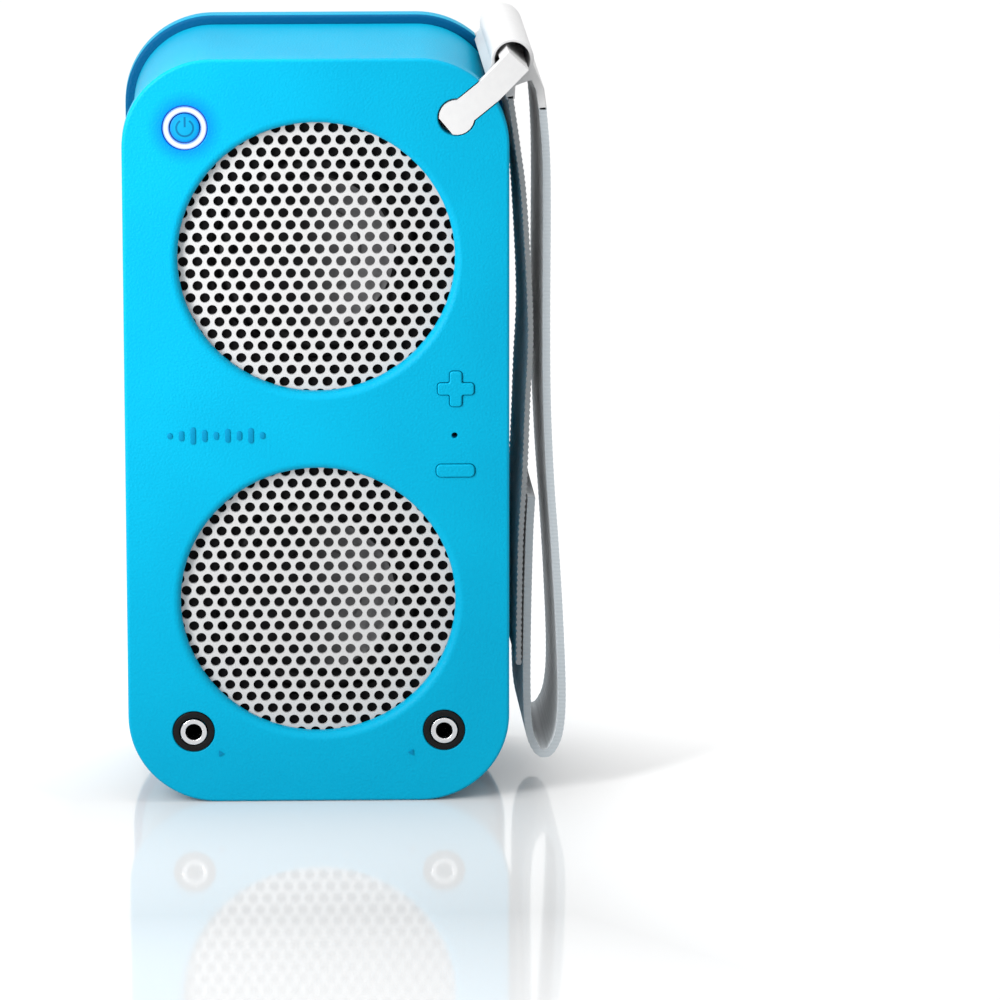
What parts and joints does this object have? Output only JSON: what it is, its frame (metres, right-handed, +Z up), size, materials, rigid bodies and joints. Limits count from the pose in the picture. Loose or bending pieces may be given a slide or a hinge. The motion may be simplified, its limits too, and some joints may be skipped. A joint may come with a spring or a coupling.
{
  "type": "portable party speaker",
  "caption": "Upright portable speaker with round perforated grilles in a spool-shaped plastic case, push buttons, jacks and a wrist strap on a corner link.",
  "frame": {"origin": "middle of the front cover's flat foot strip, at the surface the speaker stands on", "axes": "+Z up along the tall side; -Y is the front with the grilles and buttons; +X towards the strap"},
  "size_m": [0.1081, 0.0547, 0.1914],
  "materials": {
    "cyan_plastic": "fine spark texture, matte",
    "white_plastic": "smooth satin",
    "black_plastic": "satin",
    "light_guide": "clear-white light guide, glows when on",
    "grille_steel": "punched sheet, satin",
    "steel": "zinc plated",
    "basket_steel": "black paint",
    "chrome": "polished nickel",
    "copper": "enamelled winding",
    "circuit_board": "solder mask",
    "rubber": "soft moulded",
    "cone_paper": "coated paper",
    "spider_cloth": "treated cloth",
    "ferrite": "sintered",
    "battery_wrap": "shrink wrap",
    "band_fabric": "smooth woven band",
    "webbing_fabric": "ribbed webbing"
  },
  "bodies": {
    "case": {"front_cover": "cyan_plastic", "waist_shell": "cyan_plastic", "back_cover": "cyan_plastic", "grille_top": "grille_steel", "grille_bottom": "grille_steel", "light_ring": "light_guide", "power_switch": "black_plastic", "volume_up_switch": "black_plastic", "volume_down_switch": "black_plastic", "power_board": "circuit_board", "volume_board": "circuit_board", "main_board": "circuit_board", "microphone": "rubber", "battery_pack": "battery_wrap", "battery_tray": "black_plastic", "charge_socket": "steel", "link_liner": "white_plastic", "strap_link": "white_plastic", "jack_in_trim": "black_plastic", "jack_in_sleeve": "chrome", "jack_in_body": "black_plastic", "jack_out_trim": "black_plastic", "jack_out_sleeve": "chrome", "jack_out_body": "black_plastic", "case_screw_1": "steel", "case_screw_2": "steel", "case_screw_3": "steel", "case_screw_4": "steel", "basket_top": "basket_steel", "surround_top": "rubber", "spider_top": "spider_cloth", "front_plate_top": "steel", "magnet_top": "ferrite", "yoke_top": "steel", "driver_screw_top_1": "steel", "driver_screw_top_2": "steel", "driver_screw_top_3": "steel", "basket_bottom": "basket_steel", "surround_bottom": "rubber", "spider_bottom": "spider_cloth", "front_plate_bottom": "steel", "magnet_bottom": "ferrite", "yoke_bottom": "steel", "driver_screw_bottom_1": "steel", "driver_screw_bottom_2": "steel", "driver_screw_bottom_3": "steel"},
    "power_button": {"power_button": "cyan_plastic"},
    "volume_up_button": {"volume_up_button": "cyan_plastic"},
    "volume_down_button": {"volume_down_button": "cyan_plastic"},
    "cone_assembly_top": {"cone_top": "cone_paper", "dust_cap_top": "cone_paper", "voice_coil_top": "copper"},
    "cone_assembly_bottom": {"cone_bottom": "cone_paper", "dust_cap_bottom": "cone_paper", "voice_coil_bottom": "copper"},
    "strap": {"strap_sleeve": "white_plastic", "strap_band": "band_fabric", "strap_webbing": "webbing_fabric"}
  },
  "joints": [
    {"name": "power_press", "type": "slide", "parent": "case", "child": "power_button", "axis": [0, 1, 0], "range_m": [0, 0.0004], "stiffness_N_per_m": 600, "springref_m": -0.0002},
    {"name": "volume_up_press", "type": "slide", "parent": "case", "child": "volume_up_button", "axis": [0, 1, 0], "range_m": [0, 0.0004], "stiffness_N_per_m": 600, "springref_m": -0.0002},
    {"name": "volume_down_press", "type": "slide", "parent": "case", "child": "volume_down_button", "axis": [0, 1, 0], "range_m": [0, 0.0004], "stiffness_N_per_m": 600, "springref_m": -0.0002},
    {"name": "cone_travel_top", "type": "slide", "parent": "case", "child": "cone_assembly_top", "axis": [0, 1, 0], "range_m": [-0.0015, 0.0015], "stiffness_N_per_m": 1000},
    {"name": "cone_travel_bottom", "type": "slide", "parent": "case", "child": "cone_assembly_bottom", "axis": [0, 1, 0], "range_m": [-0.0015, 0.0015], "stiffness_N_per_m": 1000},
    {"name": "strap_swing", "type": "hinge", "parent": "case", "child": "strap", "pos_m": [0.0469, 0.02475, 0.1862], "axis": [0.0487, -0.9988, 0], "range_deg": [0, 180]}
  ]
}
